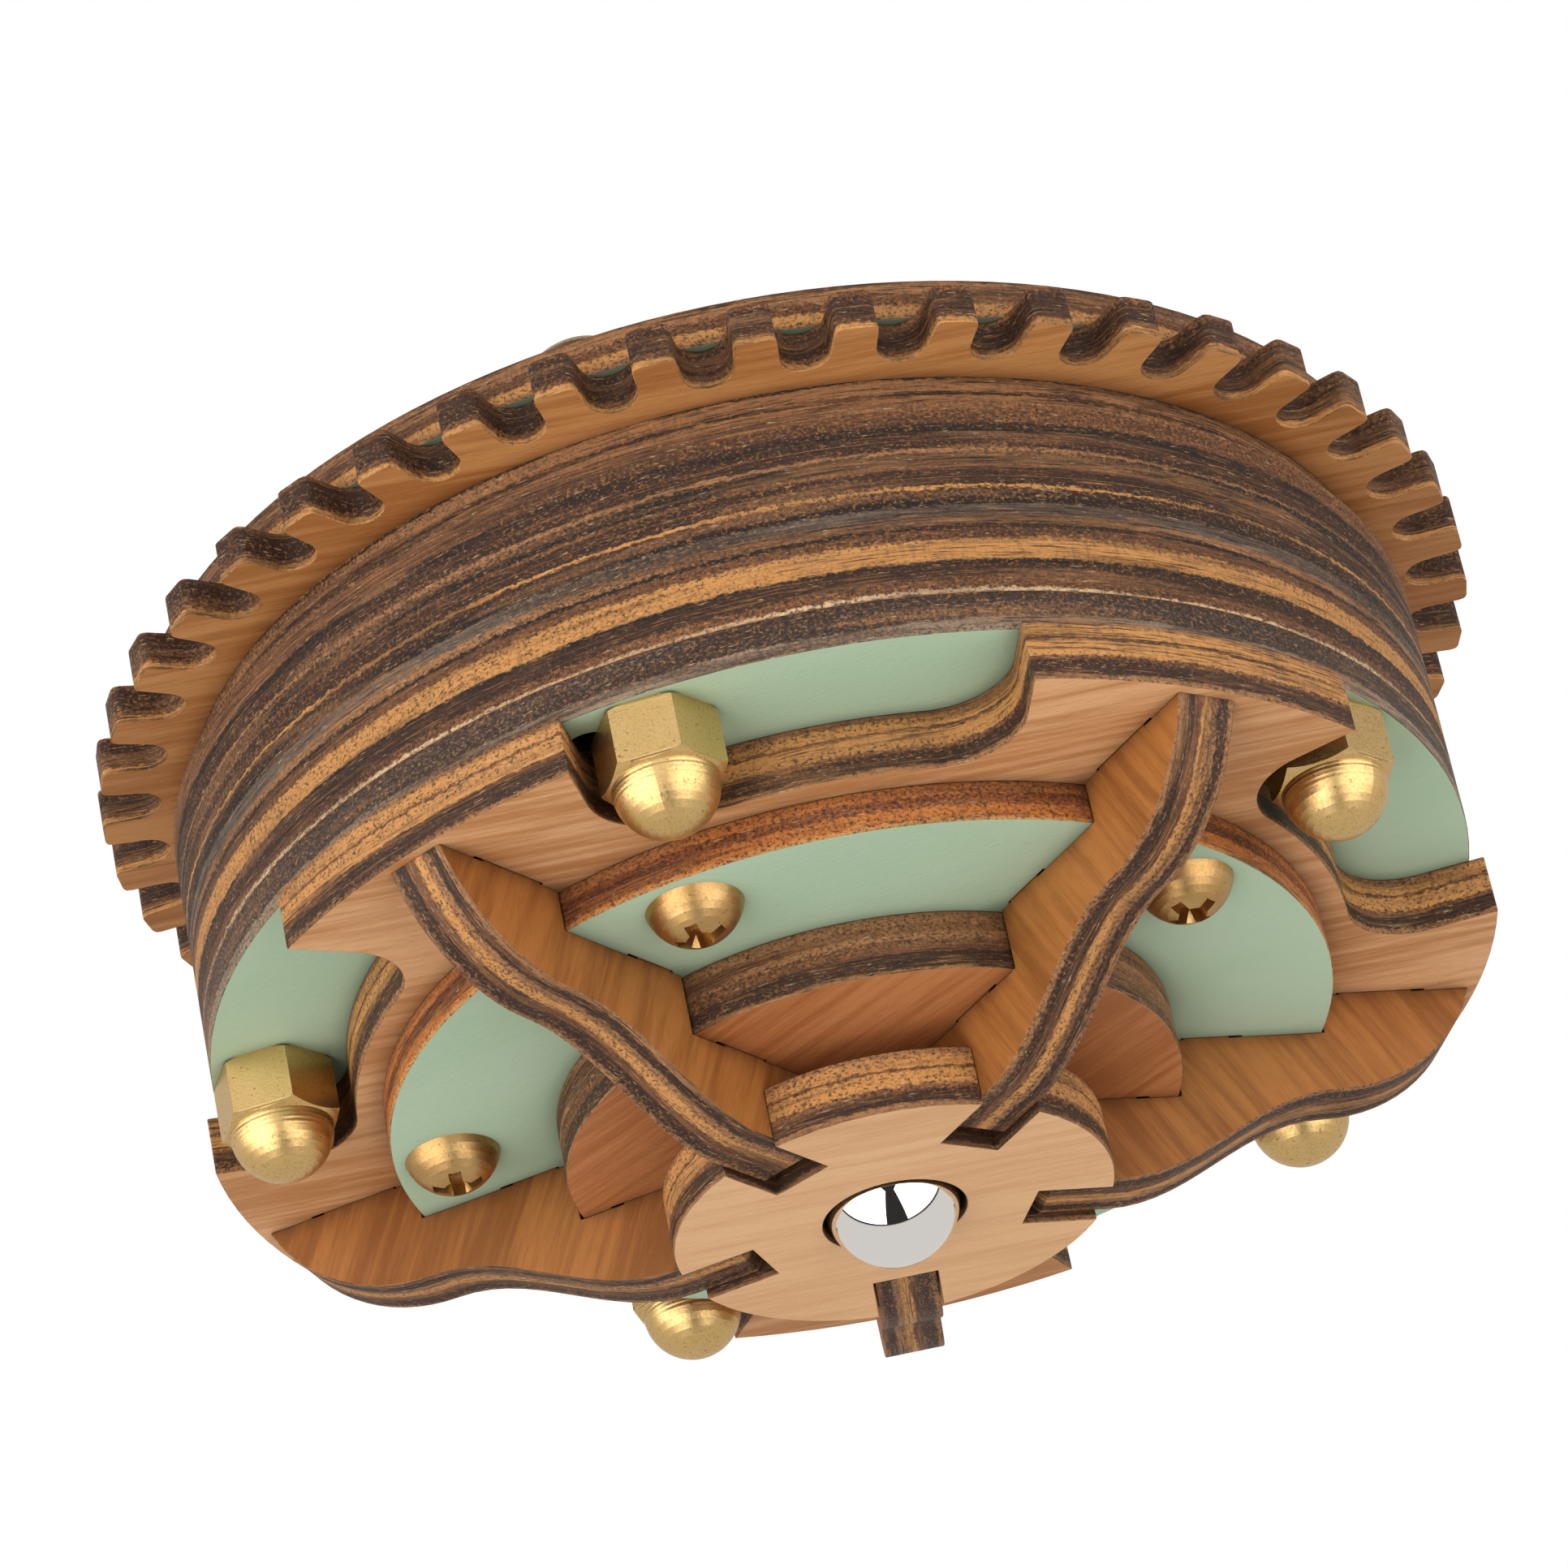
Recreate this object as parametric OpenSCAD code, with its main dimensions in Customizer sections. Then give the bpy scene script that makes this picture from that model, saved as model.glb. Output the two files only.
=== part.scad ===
// Wind up music box: a laminated plywood drum with a toothed rim, standing on a
// steel ball. Inside hangs a clockwork movement with a pinned cylinder and a comb.
// Origin: the lowest point of the pivot ball. +Z runs up the drum's axis.
// Rib 1 lies along +X, and everything of the case repeats every 72 degrees.

/* [Plywood] */
// Thickness of the thin plates
thin_ply = 2.7; // [2.4:0.1:3]
// Thickness of the thick plates and ribs
thick_ply = 4; // [3.6:0.1:4.4]

/* [Drum] */
// Outer radius of the drum
drum_r = 40; // [39.5:0.5:42]
// Outer radius of the neck ring under the toothed ring
neck_r = 38.6; // [38.5:0.1:39.5]
// Inner radius of the drum's rings
cavity_r = 31; // [30.5:0.5:32]
// Radius of the top disc
top_r = 40.9; // [40:0.1:42]

/* [Toothed ring] */
// Number of teeth on the rim
rim_teeth = 45; // [40:5:50]
// Radius over the teeth
rim_tip_r = 44.2; // [43.5:0.1:45]
// Radius at the bottom of the gaps
rim_root_r = 40.3; // [40:0.1:41]
// Radius of the round gaps between the teeth
rim_gap_r = 1.55; // [1.4:0.05:1.7]
// Width of a tooth at its tip
rim_tip_w = 2.6; // [2.2:0.1:3]
// Angle from rib 1 to the nearest tooth
rim_phase = -1.5; // [-4:0.5:4]

/* [Star and discs] */
// Radius over the star's lobes
star_r = 40.9; // [40:0.1:42]
// Half the angle of one lobe at its rim
lobe_half_angle = 16.4; // [16:0.1:17]
// Radius of a bay's round ends, one of them round a bolt
bay_end_r = 4.7; // [4.5:0.1:4.8]
// Radius of the screwed disc
screw_disc_r = 29.8; // [29:0.1:30.5]
// Radius of the inner disc
inner_disc_r = 19.4; // [19:0.1:20]
// Radius of the hub plate
hub_r = 13.8; // [13.5:0.1:14.5]
// Gap between the inner disc and the hub plate
hub_gap = 2.2; // [2:0.1:3]

/* [Ribs] */
// Radius of the bulge at a rib's outer end
bulge_r = 11.2; // [11:0.1:11.3]
// Radius at the ribs' inner ends
rib_inner_r = 9.2; // [9:0.1:10]
// Side clearance of a rib in its slots
rib_clearance = 0.05; // [0.02:0.01:0.1]

/* [Pivot] */
// Radius of the steel ball
ball_r = 4.25; // [4.2:0.05:4.3]
// How far the ball stands out of the hub plate
ball_proud = 3.1; // [2.8:0.1:3.3]
// Radius of the hub plate's bore
hub_bore_r = 4.5; // [4.4:0.05:4.8]

/* [Fasteners] */
// Radius of the circle of through bolts
bolt_circle_r = 36.2; // [36:0.05:36.3]
// Angle from a rib to the next through bolt
bolt_angle = 22.6; // [22:0.1:24]
// Radius of the circle of disc screws
screw_circle_r = 26.1; // [25.5:0.1:26.5]
// Angle from a rib to the next disc screw
screw_angle = 17.7; // [16:0.1:19]
// Angle from a rib to the next index hole
index_angle = 16.4; // [16:0.1:16.6]

/* [Movement] */
// Gear module of the clockwork
clock_module = 0.5; // [0.5]
// Outer radius of the mainspring barrel
barrel_r = 11.2; // [11:0.1:11.3]
// Number of tracks on the pinned cylinder, and of teeth on the comb
tune_tracks = 12; // [10:1:12]
// Direction of the first wheel from the barrel
train_angle = 10; // [8:1:12]

/* [Hidden] */
$fn = 96;
fold = 5;
step_angle = 360 / fold;
joint_gap = 0.05;

// Levels of the case, from the ball upwards
hub_z = ball_proud;
inner_z = hub_z + thick_ply + hub_gap;
screw_disc_z = inner_z + thick_ply;
star_z = screw_disc_z + thin_ply;
base_z = star_z + thick_ply;
ring_count = 5;
ring_z = base_z + thin_ply;
neck_z = ring_z + ring_count * thin_ply;
rim_z = neck_z + thin_ply;
top_z = rim_z + thin_ply;
top_face_z = top_z + thin_ply;

// Metric fasteners: thread radius and clearance radius
m4_r = 2;
m4_clear_r = 2.1;
m3_r = 1.5;
m3_clear_r = 1.6;
m2_r = 0.8;
acorn_h = 7.4;
acorn_hex_h = 4.2;
acorn_hex_r = 6.75 / 2 / cos(30);
acorn_dome_r = 3.25;
// Turn of each nut, as tightened
acorn_turns = [7, -9, 15, 4, -13];
acorn_bore_depth = 5.2;
thin_nut_h = 1.8;
thin_nut_r = 5.5 / 2 / cos(30);
index_r = 1.7;

// Levels of the movement, from the base plate upwards
bridge_z = ring_z + 0.7;
bridge_h = 1.2;
first_wheel_z = bridge_z + bridge_h + 1;
great_z = first_wheel_z + 1.8;
great_h = 1.2;
barrel_z = great_z + great_h;
barrel_h = 8.8;
barrel_top_z = barrel_z + barrel_h;
bedplate_h = 2;
bedplate_z = top_z - bedplate_h;
bedplate_r = 29.5;
second_wheel_z = barrel_z + 1.4;
fan_z = second_wheel_z + 2;
fan_h = 5.6;

// Teeth of the train
great_teeth = 52;
leaf_teeth = 10;
first_teeth = 40;
second_teeth = 24;
fan_teeth = 8;
function pitch_r(n) = clock_module * n / 2;

// Places of the train's arbors, each found from two known distances
first_at_r = pitch_r(great_teeth) + pitch_r(leaf_teeth);
second_at_r = 19.4;
fan_at_r = 22.6;
first_to_second = pitch_r(first_teeth) + pitch_r(leaf_teeth);
second_to_fan = pitch_r(second_teeth) + pitch_r(fan_teeth);
function angle_between(a, b, c) = acos((a * a + b * b - c * c) / (2 * a * b));
second_angle = train_angle + angle_between(first_at_r, second_at_r, first_to_second);
fan_angle = second_angle + angle_between(second_at_r, fan_at_r, second_to_fan);
function polar(r, a) = [r * cos(a), r * sin(a)];
first_at = polar(first_at_r, train_angle);
second_at = polar(second_at_r, second_angle);
fan_at = polar(fan_at_r, fan_angle);
function heading(p, q) = atan2(q[1] - p[1], q[0] - p[0]);

// Turn of a driven gear that puts a gap where the driver has a tooth
function mesh_turn(turn, n, driven, dir) =
    dir + 180 + 180 / driven + (dir - turn) * n / driven;
first_pinion_turn = mesh_turn(0, great_teeth, leaf_teeth, train_angle);
first_to_second_dir = heading(first_at, second_at);
second_pinion_turn = mesh_turn(0, first_teeth, leaf_teeth, first_to_second_dir);
second_to_fan_dir = heading(second_at, fan_at);
fan_pinion_turn = mesh_turn(0, second_teeth, fan_teeth, second_to_fan_dir);

arbor_r = 0.8;
pivot_r = 0.6;
pivot_bore_r = 0.64;
winding_r = 2;
winding_bore_r = 2.05;
barrel_pivot_r = 0.9;
barrel_pivot_bore_r = 0.94;
arbor_core_r = 2.5;
arbor_neck_r = 1.5;
arbor_neck_bore_r = 1.55;
pillar_r = 1.75;
pillars_at = [polar(27.5, 40), polar(25.5, -20), polar(24.5, 105)];
bed_screws_at = [polar(24, 20), polar(24, 140), polar(24, 260)];

// Comb: a flat steel plate standing beside the pinned cylinder
sleeve_r = barrel_r + 0.7;
pin_tip_r = sleeve_r + 0.5;
comb_gap = 0.2;
comb_t = 0.9;
comb_x0 = -(pin_tip_r + comb_gap + comb_t);
track_pitch = 0.6;
track_z0 = barrel_z + 1.1;

// ---------- helpers ----------

function arc_pts(c, r, from, to, n) =
    [for (i = [0:n]) c + polar(r, from + (to - from) * i / n)];

module at_fold(r, a) {
    for (i = [0:fold - 1]) rotate([0, 0, a + i * step_angle]) translate([r, 0, 0]) children();
}

module disc(r, z, h) {
    translate([0, 0, z]) cylinder(r = r, h = h);
}

module bolt_holes(z, h) {
    at_fold(bolt_circle_r, bolt_angle) disc(m4_clear_r, z - 1, h + 2);
}

module screw_holes(z, h) {
    at_fold(screw_circle_r, screw_angle) disc(m3_clear_r, z - 1, h + 2);
}

// Slots for the ribs' tabs, from one radius to another
module rib_slots(from_r, to_r, z, h) {
    slot_w = thick_ply + 2 * rib_clearance;
    for (i = [0:fold - 1])
        rotate([0, 0, i * step_angle])
            translate([from_r, -slot_w / 2, z - 1]) cube([to_r - from_r, slot_w, h + 2]);
}

// A flat bar between two places in plan
module link(p, q, w, z, h) {
    translate([p[0], p[1], z]) rotate([0, 0, heading(p, q)])
        translate([0, -w / 2, 0]) cube([norm(q - p), w, h]);
}

// A domed screw head, its flat side at z = 0 and its dome below
module domed_head(r, h) {
    dome_r = (r * r + h * h) / (2 * h);
    half_angle = asin(r / dome_r);
    rotate_extrude() polygon(concat([[0, 0]],
        arc_pts([0, dome_r - h], dome_r, -90 + half_angle, -90, 8)));
}

// Thin-toothed clock gear: straight flanks with room to run freely
module clock_gear(n, bore_r, h) {
    p = 360 / n;
    r = pitch_r(n);
    root_r = r - 1.2 * clock_module;
    tip_r = r + 0.8 * clock_module;
    difference() {
        linear_extrude(h) polygon([for (i = [0:n - 1]) each [
            polar(root_r, (i - 0.26) * p), polar(tip_r, (i - 0.1) * p),
            polar(tip_r, (i + 0.1) * p), polar(root_r, (i + 0.26) * p)
        ]]);
        translate([0, 0, -1]) cylinder(r = bore_r, h = h + 2);
    }
}

// ---------- case ----------

module base_plate() {
    color("DarkSeaGreen") difference() {
        disc(drum_r, base_z, thin_ply);
        bolt_holes(base_z, thin_ply);
        screw_holes(base_z, thin_ply);
        at_fold(bolt_circle_r, index_angle) disc(index_r, base_z - 1, thin_ply + 2);
    }
}

module ring_plate(outer_r, z) {
    difference() {
        disc(outer_r, z, thin_ply);
        disc(cavity_r, z - 1, thin_ply + 2);
        bolt_holes(z, thin_ply);
    }
}

module drum_ring(i) {
    color("SaddleBrown") ring_plate(drum_r, ring_z + (i - 1) * thin_ply);
}

module neck_ring() {
    color("Sienna") ring_plate(neck_r, neck_z);
}

// One tooth in plan, from the gap below it to the gap above it: round gaps,
// nearly straight flanks, and a flat tip with rounded corners
function tooth_pts(a) =
    let (
        corner_r = 0.5,
        gap_at = rim_root_r + rim_gap_r,
        half_pitch = 180 / rim_teeth,
        side = rim_tip_w / 2 - corner_r,
        tip_at = sqrt((rim_tip_r - corner_r) * (rim_tip_r - corner_r) - side * side),
        pts = concat(
            arc_pts(polar(gap_at, -half_pitch), rim_gap_r, 162, 90, 4),
            arc_pts([tip_at, -side], corner_r, -90, 0, 3),
            arc_pts([tip_at, side], corner_r, 0, 90, 3),
            arc_pts(polar(gap_at, half_pitch), rim_gap_r, -90, -180 + half_pitch, 5)
        )
    )
    [for (p = pts) polar(norm(p), a + atan2(p[1], p[0]))];

module toothed_ring() {
    color("Peru") difference() {
        translate([0, 0, rim_z]) linear_extrude(thin_ply) polygon([
            for (i = [0:rim_teeth - 1], p = tooth_pts(rim_phase + i * 360 / rim_teeth)) p
        ]);
        disc(cavity_r, rim_z - 1, thin_ply + 2);
        bolt_holes(rim_z, thin_ply);
    }
}

module top_disc() {
    color("Sienna") difference() {
        disc(top_r, top_z, thin_ply);
        bolt_holes(top_z, thin_ply);
        disc(winding_r + 1, top_z - 1, thin_ply + 2);
        for (p = bed_screws_at) translate([p[0], p[1], 0]) disc(m3_clear_r, top_z - 1, thin_ply + 2);
    }
}

// One open bay of the star: two round ends joined by a floor that follows the
// drum, and flanks that run from the round ends to the lobes' corners
module bay_outline() {
    outside_r = drum_r + 9;
    middle = step_angle / 2;
    end_at = polar(bolt_circle_r, bolt_angle);
    far_end_at = polar(bolt_circle_r, step_angle - bolt_angle);
    corner = polar(star_r, lobe_half_angle);
    flank_start = heading(end_at, corner) - acos(bay_end_r / norm(corner - end_at));
    flank_foot = end_at + polar(bay_end_r, flank_start);
    flank_tip = corner + polar(outside_r - star_r, heading(flank_foot, corner));
    tip_r = norm(flank_tip);
    tip_angle = atan2(flank_tip[1], flank_tip[0]);
    floor_start = bolt_angle - 180;
    floor_r = bolt_circle_r - bay_end_r;
    polygon(concat(
        [flank_tip],
        arc_pts(end_at, bay_end_r, flank_start, floor_start, 16),
        arc_pts([0, 0], floor_r, bolt_angle + 1, step_angle - bolt_angle - 1, 14),
        arc_pts(far_end_at, bay_end_r, step_angle - floor_start, step_angle - flank_start, 16),
        [polar(tip_r, step_angle - tip_angle)],
        [polar(outside_r + 9, middle)]
    ));
}

star_slot = [31.3, 37.2];
disc_slot = [20.3, 24.3];
inner_slot = [12.8, 17.3];
tab_short = 0.8;
tab_start = 0.1;

module star_plate() {
    color("Sienna") difference() {
        disc(star_r, star_z, thick_ply);
        for (i = [0:fold - 1])
            rotate([0, 0, i * step_angle])
                translate([0, 0, star_z - 1]) linear_extrude(thick_ply + 2) bay_outline();
        screw_holes(star_z, thick_ply);
        rib_slots(star_slot[0], star_slot[1], star_z, thick_ply);
    }
}

module screw_disc() {
    color("DarkSeaGreen") difference() {
        disc(screw_disc_r, screw_disc_z, thin_ply);
        screw_holes(screw_disc_z, thin_ply);
        rib_slots(disc_slot[0], disc_slot[1], screw_disc_z, thin_ply);
    }
}

cup_spigot_r = 3;
cup_spigot_h = 2;

module inner_disc() {
    color("Sienna") difference() {
        disc(inner_disc_r, inner_z, thick_ply);
        disc(cup_spigot_r + joint_gap, inner_z - 1, thick_ply + 2);
        rib_slots(inner_slot[0], inner_slot[1], inner_z, thick_ply);
    }
}

module hub_plate() {
    slot_floor_r = rib_inner_r - 0.4;
    color("BurlyWood") difference() {
        disc(hub_r, hub_z, thick_ply);
        disc(hub_bore_r, hub_z - 1, thick_ply + 2);
        rib_slots(slot_floor_r, hub_r + 5, hub_z, thick_ply);
    }
}

// Side view of a rib: radius across, height up. Its lower edge is a full curve
// near the rim that falls in an easy wave to the hub. Its upper edge steps over
// the three plates, with a tab into each.
bulge_at = [29.9, 20.35];
bulge_start_angle = asin((star_z - bulge_at[1]) / bulge_r);
wave_start = bulge_at + polar(bulge_r, -90);
wave_end = [14.4, hub_z + 0.6];
nose_at = 10;
nose_rise = 0.8;
function wave_z(t) = wave_start[1] + (wave_end[1] - wave_start[1]) * (1 - cos(180 * t)) / 2;
rib_outline = concat(
    arc_pts(bulge_at, bulge_r, bulge_start_angle, -90, 14),
    [for (i = [1:14]) let (t = i / 14)
        [wave_start[0] + (wave_end[0] - wave_start[0]) * t, wave_z(t)]],
    [
        [nose_at, wave_end[1]], [rib_inner_r, wave_end[1] + nose_rise],
        [rib_inner_r, inner_z], [inner_slot[0] + tab_start, inner_z],
        [inner_slot[0] + tab_start, inner_z + thick_ply],
        [inner_slot[1] - tab_short, inner_z + thick_ply],
        [inner_slot[1] - tab_short, inner_z],
        [inner_disc_r + joint_gap, inner_z], [inner_disc_r + joint_gap, screw_disc_z],
        [disc_slot[0] + tab_start, screw_disc_z],
        [disc_slot[0] + tab_start, star_z], [disc_slot[1] - tab_short, star_z],
        [disc_slot[1] - tab_short, screw_disc_z],
        [screw_disc_r + joint_gap, screw_disc_z], [screw_disc_r + joint_gap, star_z],
        [star_slot[0] + tab_start, star_z], [star_slot[0] + tab_start, base_z],
        [star_slot[1] - tab_short, base_z], [star_slot[1] - tab_short, star_z]
    ]
);

module rib(i) {
    color("Chocolate") rotate([0, 0, (i - 1) * step_angle])
        rotate([90, 0, 0]) translate([0, 0, -thick_ply / 2])
            linear_extrude(thick_ply) polygon(rib_outline);
}

// ---------- pivot ----------

module pivot_ball() {
    color("Silver") translate([0, 0, ball_r]) sphere(r = ball_r);
}

cup_rim_z = ball_r + 1.5;
magnet_r = 2;
magnet_z = 2 * ball_r + 0.15;

module ball_cup() {
    color("DimGray") difference() {
        union() {
            disc(hub_bore_r - joint_gap, cup_rim_z, inner_z - cup_rim_z);
            disc(cup_spigot_r, inner_z, cup_spigot_h);
        }
        translate([0, 0, ball_r]) sphere(r = ball_r + joint_gap);
        disc(magnet_r, ball_r, inner_z + cup_spigot_h);
    }
}

module cup_magnet() {
    color("LightSlateGray") disc(magnet_r, magnet_z, inner_z + cup_spigot_h - magnet_z);
}

// ---------- fasteners of the case ----------

module through_bolts() {
    head_r = 4;
    head_h = 2.6;
    shank_z = base_z - acorn_bore_depth + 0.2;
    color("Goldenrod") at_fold(bolt_circle_r, bolt_angle) {
        translate([0, 0, top_face_z]) mirror([0, 0, 1]) domed_head(head_r, head_h);
        disc(m4_r, shank_z, top_face_z - shank_z);
    }
}

// One acorn nut hanging below z = 0: a chamfered hexagon, a neck and a dome
module acorn_nut() {
    neck_z = -acorn_hex_h;
    clear_r = acorn_hex_r + 0.15;
    difference() {
        union() {
            intersection() {
                rotate([0, 0, 30]) translate([0, 0, neck_z]) cylinder(r = acorn_hex_r, h = acorn_hex_h, $fn = 6);
                rotate_extrude() polygon([
                    [0, 0], [acorn_hex_r - 0.35, 0], [clear_r, -0.3],
                    [clear_r, neck_z + 0.6], [acorn_dome_r - 0.15, neck_z], [0, neck_z]
                ]);
            }
            rotate_extrude() polygon(concat(
                [[0, -1], [acorn_dome_r, -1]],
                arc_pts([0, acorn_dome_r - acorn_h], acorn_dome_r, 0, -90, 10)
            ));
        }
        translate([0, 0, -acorn_bore_depth]) cylinder(r = m4_r, h = acorn_bore_depth + 1);
    }
}

module acorn_nuts() {
    color("Goldenrod")
        for (i = [0:fold - 1])
            rotate([0, 0, bolt_angle + i * step_angle])
                translate([bolt_circle_r, 0, base_z]) rotate([0, 0, acorn_turns[i]]) acorn_nut();
}

module disc_screws() {
    head_r = 3;
    head_h = 2.35;
    recess_depth = 1.2;
    crown_z = screw_disc_z - head_h;
    shank_top = ring_z + thin_nut_h;
    color("Goldenrod") at_fold(screw_circle_r, screw_angle) difference() {
        union() {
            translate([0, 0, screw_disc_z]) domed_head(head_r, head_h);
            disc(m3_r, screw_disc_z, shank_top - screw_disc_z);
        }
        for (a = [0, 90]) translate([0, 0, crown_z]) rotate([0, 0, a])
            cube([3.1, 0.8, 2 * recess_depth], center = true);
        translate([0, 0, crown_z - 1]) cylinder(r1 = 1.4, r2 = 0.3, h = recess_depth + 1.3);
    }
}

module disc_nuts() {
    color("DarkGoldenrod") at_fold(screw_circle_r, screw_angle) difference() {
        translate([0, 0, ring_z]) cylinder(r = thin_nut_r, h = thin_nut_h, $fn = 6);
        disc(m3_r, ring_z - 1, thin_nut_h + 2);
    }
}

// ---------- frame of the movement ----------

module bedplate() {
    color("Gold") difference() {
        disc(bedplate_r, bedplate_z, bedplate_h);
        disc(winding_bore_r, bedplate_z - 1, bedplate_h + 2);
        for (p = [first_at, second_at, fan_at])
            translate([p[0], p[1], 0]) disc(pivot_bore_r, bedplate_z - 1, bedplate_h + 2);
        for (p = bed_screws_at)
            translate([p[0], p[1], 0]) disc(m3_r, bedplate_z - 1, bedplate_h + 2);
    }
}

module bedplate_screws() {
    color("Goldenrod") for (p = bed_screws_at) translate([p[0], p[1], 0]) {
        translate([0, 0, top_face_z]) mirror([0, 0, 1]) domed_head(2.85, 2);
        disc(m3_r, bedplate_z + 0.2, top_face_z - bedplate_z - 0.2);
    }
}

module pillars() {
    bottom = bridge_z + bridge_h;
    color("Gold") for (p = pillars_at) translate([p[0], p[1], 0]) difference() {
        disc(pillar_r, bottom, bedplate_z - bottom);
        disc(m2_r, bottom - 1, 5);
    }
}

module bridge() {
    arm_w = 3.4;
    boss_r = 2.4;
    color("Gold") difference() {
        union() {
            link([0, 0], first_at, arm_w, bridge_z, bridge_h);
            link(first_at, second_at, arm_w, bridge_z, bridge_h);
            link(second_at, fan_at, arm_w, bridge_z, bridge_h);
            link(second_at, pillars_at[0], arm_w, bridge_z, bridge_h);
            link(first_at, pillars_at[1], arm_w, bridge_z, bridge_h);
            link([0, 0], pillars_at[2], arm_w, bridge_z, bridge_h);
            disc(3.5, bridge_z, bridge_h);
            for (p = concat([first_at, second_at, fan_at], pillars_at))
                translate([p[0], p[1], 0]) disc(boss_r, bridge_z, bridge_h);
        }
        disc(barrel_pivot_bore_r, bridge_z - 1, bridge_h + 2);
        for (p = [first_at, second_at, fan_at])
            translate([p[0], p[1], 0]) disc(pivot_bore_r, bridge_z - 1, bridge_h + 2);
        for (p = pillars_at) translate([p[0], p[1], 0]) disc(m2_r, bridge_z - 1, bridge_h + 2);
    }
}

module bridge_screws() {
    head_h = 0.6;
    color("SteelBlue") for (p = pillars_at) translate([p[0], p[1], 0]) {
        disc(1.6, bridge_z - head_h, head_h);
        disc(m2_r, bridge_z, bridge_h + 3.8);
    }
}

// ---------- comb ----------

comb_reach = 14;
comb_end = 19.5;
comb_screw_y = 17;
comb_screw_z = [track_z0 + 1.2, track_z0 + 5.6];
comb_h = tune_tracks * track_pitch + 0.4;

module comb() {
    tooth_h = 0.42;
    color("LightSteelBlue") difference() {
        union() {
            translate([comb_x0, -comb_end, track_z0 - 0.2]) cube([comb_t, comb_end - comb_reach, comb_h]);
            for (i = [0:tune_tracks - 1])
                translate([comb_x0, -comb_reach - 0.01, track_z0 + (i + 0.5) * track_pitch - tooth_h / 2])
                    cube([comb_t, comb_reach + 0.01, tooth_h]);
            for (i = [0:tune_tracks - 1]) {
                root = comb_reach - 9.5 + i * 0.35;
                translate([comb_x0, -comb_reach - 0.01, track_z0 + i * track_pitch - 0.1])
                    cube([comb_t, root, track_pitch]);
            }
        }
        for (z = comb_screw_z) translate([comb_x0 - 1, -comb_screw_y, z])
            rotate([0, 90, 0]) cylinder(r = m2_r, h = comb_t + 2);
    }
}

module comb_block() {
    block_t = 4.6;
    color("DarkGoldenrod") difference() {
        translate([comb_x0 - block_t, -comb_end, track_z0 - 0.2])
            cube([block_t, 5.4, bedplate_z - track_z0 + 0.2]);
        for (z = comb_screw_z) translate([comb_x0 - 3.5, -comb_screw_y, z])
            rotate([0, 90, 0]) cylinder(r = m2_r, h = 5);
    }
}

module comb_screws() {
    color("SteelBlue") for (z = comb_screw_z) translate([comb_x0 + comb_t, -comb_screw_y, z]) rotate([0, 90, 0]) {
        cylinder(r = 1.5, h = 0.9);
        translate([0, 0, -comb_t - 3.3]) cylinder(r = m2_r, h = comb_t + 3.4);
    }
}

// ---------- winding ----------

key_socket_z = top_face_z + 0.4;
key_socket_h = 6.6;
collar_z = barrel_top_z + 0.4;

module winding_arbor() {
    color("LightGray") {
        disc(barrel_pivot_r, bridge_z + 0.1, great_z - bridge_z - 0.1);
        disc(arbor_neck_r, great_z - 0.4, barrel_h + great_h + 1);
        disc(arbor_core_r, barrel_z + 1.1, barrel_h - 2.2);
        disc(arbor_core_r, collar_z, 1.5);
        disc(winding_r, collar_z, key_socket_z + key_socket_h - 1 - collar_z);
    }
}

module winding_key() {
    wing_w = 22;
    wing_h = 9;
    wing_t = 2.2;
    wing_z = key_socket_z + key_socket_h - 1.4;
    end_r = wing_h / 2;
    color("Gold") difference() {
        union() {
            disc(3.5, key_socket_z, key_socket_h);
            translate([0, wing_t / 2, wing_z + end_r]) rotate([90, 0, 0]) {
                for (s = [-1, 1]) translate([s * (wing_w / 2 - end_r), 0, 0]) cylinder(r = end_r, h = wing_t);
                translate([-wing_w / 2 + end_r, -end_r * 0.7, 0]) cube([wing_w - 2 * end_r, wing_h * 0.7, wing_t]);
            }
        }
        disc(winding_r, key_socket_z - 1, key_socket_h);
        for (s = [-1, 1]) translate([s * (wing_w / 2 - end_r), 0, wing_z + end_r])
            rotate([90, 0, 0]) cylinder(r = 2, h = wing_t + 2, center = true);
    }
}

// Wrap spring that grips the arbor's collar one way, and its foot in the bedplate
module clutch_spring() {
    wire_r = 0.2;
    coil_pitch = 0.34;
    coil_r = arbor_core_r + joint_gap + wire_r;
    first_coil_z = collar_z + 0.3;
    leg_reach = 2.5;
    color("DarkGray") {
        for (i = [0:2]) translate([0, 0, first_coil_z + coil_pitch * i])
            rotate_extrude() translate([coil_r, 0]) circle(r = wire_r, $fn = 24);
        translate([coil_r, 0, first_coil_z]) rotate([0, 90, 0]) cylinder(r = wire_r * 0.75, h = leg_reach);
        translate([coil_r + leg_reach, 0, 0]) disc(wire_r, first_coil_z - wire_r, bedplate_z - first_coil_z + wire_r);
    }
}

// ---------- barrel and cylinder ----------

barrel_wall = 0.9;
cover_h = 0.9;

module barrel() {
    color("Khaki") difference() {
        disc(barrel_r, barrel_z, barrel_h);
        disc(barrel_r - barrel_wall, barrel_z + 0.9, barrel_h);
        disc(arbor_neck_bore_r, barrel_z - 1, barrel_h + 2);
    }
}

module barrel_cover() {
    color("Khaki") difference() {
        disc(barrel_r - barrel_wall, barrel_top_z - cover_h, cover_h);
        disc(arbor_neck_bore_r, barrel_top_z - cover_h - 1, cover_h + 2);
    }
}

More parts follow.
